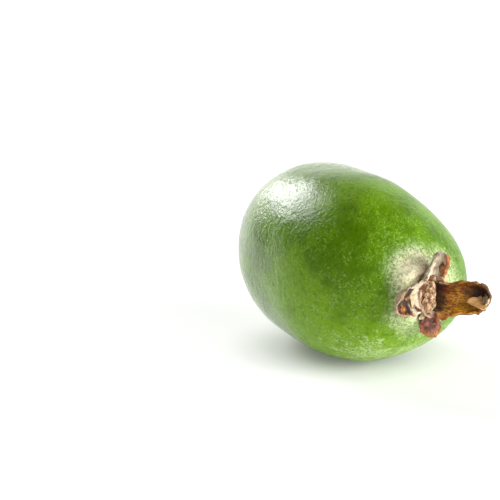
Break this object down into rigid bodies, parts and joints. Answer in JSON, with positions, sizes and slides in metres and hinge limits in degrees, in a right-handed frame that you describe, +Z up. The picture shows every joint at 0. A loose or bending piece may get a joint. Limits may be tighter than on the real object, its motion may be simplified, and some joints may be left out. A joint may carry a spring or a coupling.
{
  "type": "feijoa",
  "caption": "Whole feijoa lying on its side: plump oval green fruit with a woolly crown and a dried cup of curled brown sepals at its blossom end.",
  "frame": {"origin": "on the small flat spot that the fruit rests on, below its centre of mass", "axes": "+X along the fruit from the stalk end to the calyx end, +Z up"},
  "size_m": [0.0803, 0.0488, 0.0473],
  "materials": {
    "skin": "waxy, finely pebbled green skin with a pale bloom",
    "sepal": "dry, fibrous brown, glossier inside",
    "cork": "matt, rough and cracked"
  },
  "bodies": {
    "root": {"fruit": "skin", "calyx": "sepal", "floral_disc": "cork"}
  },
  "joints": []
}
